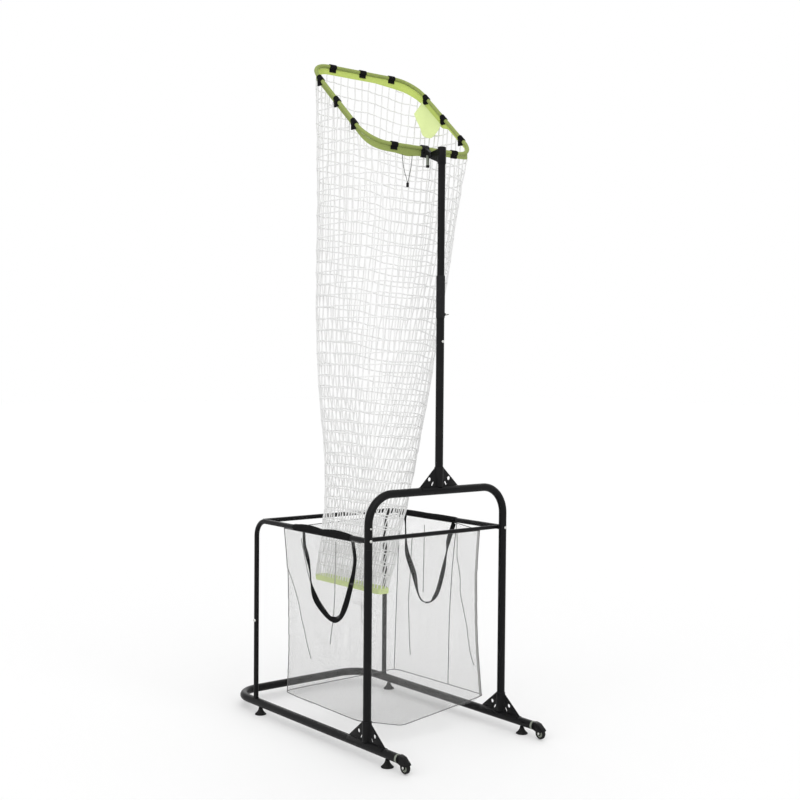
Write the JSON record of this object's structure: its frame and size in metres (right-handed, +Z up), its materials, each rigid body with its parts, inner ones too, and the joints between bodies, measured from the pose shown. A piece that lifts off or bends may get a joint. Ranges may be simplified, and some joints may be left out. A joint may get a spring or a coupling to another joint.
{
  "type": "volleyball practice net",
  "caption": "Tube ball cart with a hanging mesh bag, a telescopic mast and a tilting square catch hoop whose net chute drops balls into the bag.",
  "frame": {"origin": "on the floor, under the middle of the cart", "axes": "+Z up; +X towards the open side of the base, with the casters; the hoop tilts up towards -X; +Y is the left side"},
  "size_m": [1.245, 0.749, 2.7558],
  "materials": {
    "black_powder_coat": "black powder coat, satin",
    "black_plastic": "black moulded plastic",
    "black_rubber": "black rubber",
    "bright_steel": "zinc-plated steel",
    "black_webbing": "woven nylon webbing",
    "olive_pole": "fibreglass tube under olive-lime cloth",
    "lime_cloth": "lime polyester cloth",
    "white_net": "white knotted cord netting",
    "grey_mesh": "light grey polyester mesh"
  },
  "bodies": {
    "cart": {"base_tube": "black_powder_coat", "arch_tube": "black_powder_coat", "rear_top_bar": "black_powder_coat", "bag_rod": "black_powder_coat", "mast_foot": "black_powder_coat", "mast_lower": "black_powder_coat", "mast_collar": "black_plastic", "mast_stop_bolt": "bright_steel", "ball_bag": "grey_mesh", "front_post_left": "black_powder_coat", "post_foot_left": "black_powder_coat", "rail_bolt_left": "bright_steel", "rear_stub_left": "black_powder_coat", "side_rail_left": "black_powder_coat", "caster_fork_left": "black_powder_coat", "caster_axle_left": "bright_steel", "bag_sleeve_left": "black_webbing", "bag_handle_left": "black_webbing", "front_post_right": "black_powder_coat", "post_foot_right": "black_powder_coat", "rail_bolt_right": "bright_steel", "rear_stub_right": "black_powder_coat", "side_rail_right": "black_powder_coat", "caster_fork_right": "black_powder_coat", "caster_axle_right": "bright_steel", "bag_sleeve_right": "black_webbing", "bag_handle_right": "black_webbing"},
    "foot_rear_left": {"foot_rear_left": "black_rubber"},
    "foot_rear_right": {"foot_rear_right": "black_rubber"},
    "foot_front_left": {"foot_front_left": "black_rubber"},
    "foot_front_right": {"foot_front_right": "black_rubber"},
    "wheel_left": {"caster_wheel_left": "black_rubber"},
    "wheel_right": {"caster_wheel_right": "black_rubber"},
    "button_left": {"post_button_left": "bright_steel"},
    "button_right": {"post_button_right": "bright_steel"},
    "height_clamp": {"height_clamp": "bright_steel"},
    "mast": {"mast_upper": "black_powder_coat", "mast_head": "black_powder_coat", "tilt_bolt": "bright_steel", "net_chute": "white_net", "net_hem": "lime_cloth"},
    "hoop": {"hoop_tube": "olive_pole", "hoop_border": "lime_cloth", "hoop_clamp": "black_plastic", "draw_cord": "black_plastic", "cord_lock": "black_plastic", "strap_01": "black_webbing", "strap_02": "black_webbing", "strap_03": "black_webbing", "strap_04": "black_webbing", "strap_05": "black_webbing", "strap_06": "black_webbing", "strap_07": "black_webbing", "strap_08": "black_webbing", "strap_09": "black_webbing", "strap_10": "black_webbing", "strap_11": "black_webbing"},
    "clamp_knob": {"clamp_knob": "bright_steel"}
  },
  "joints": [
    {"name": "foot_rear_left_turn", "type": "hinge", "parent": "cart", "child": "foot_rear_left", "pos_m": [-0.3855, 0.35, 0], "axis": [0, 0, 1], "range_deg": [-720, 720]},
    {"name": "foot_rear_right_turn", "type": "hinge", "parent": "cart", "child": "foot_rear_right", "pos_m": [-0.3855, -0.35, 0], "axis": [0, 0, 1], "range_deg": [-720, 720]},
    {"name": "foot_front_left_turn", "type": "hinge", "parent": "cart", "child": "foot_front_left", "pos_m": [0.4935, 0.35, 0], "axis": [0, 0, 1], "range_deg": [-720, 720]},
    {"name": "foot_front_right_turn", "type": "hinge", "parent": "cart", "child": "foot_front_right", "pos_m": [0.4935, -0.35, 0], "axis": [0, 0, 1], "range_deg": [-720, 720]},
    {"name": "wheel_left_spin", "type": "hinge", "parent": "cart", "child": "wheel_left", "pos_m": [0.5995, 0.35, 0.026], "axis": [0, 1, 0], "continuous": true},
    {"name": "wheel_right_spin", "type": "hinge", "parent": "cart", "child": "wheel_right", "pos_m": [0.5995, -0.35, 0.026], "axis": [0, 1, 0], "continuous": true},
    {"name": "button_left_press", "type": "slide", "parent": "cart", "child": "button_left", "axis": [1, 0, 0], "range_m": [0, 0.004], "stiffness_N_per_m": 800},
    {"name": "button_right_press", "type": "slide", "parent": "cart", "child": "button_right", "axis": [-1, 0, 0], "range_m": [0, 0.004], "stiffness_N_per_m": 800},
    {"name": "height_clamp_turn", "type": "hinge", "parent": "cart", "child": "height_clamp", "pos_m": [0.3665, 0, 1.704], "axis": [0, 1, 0], "range_deg": [0, 720]},
    {"name": "mast_height", "type": "slide", "parent": "cart", "child": "mast", "axis": [0, 0, 1], "range_m": [-0.09, 0.1]},
    {"name": "hoop_tilt", "type": "hinge", "parent": "mast", "child": "hoop", "pos_m": [0.3085, 0, 2.335], "axis": [0, 1, 0], "range_deg": [-42, 28], "deforming": ["net_chute"]},
    {"name": "clamp_knob_turn", "type": "hinge", "parent": "hoop", "child": "clamp_knob", "pos_m": [0.2805, 0, 2.33], "axis": [0, 0, 1], "range_deg": [0, 720]}
  ]
}
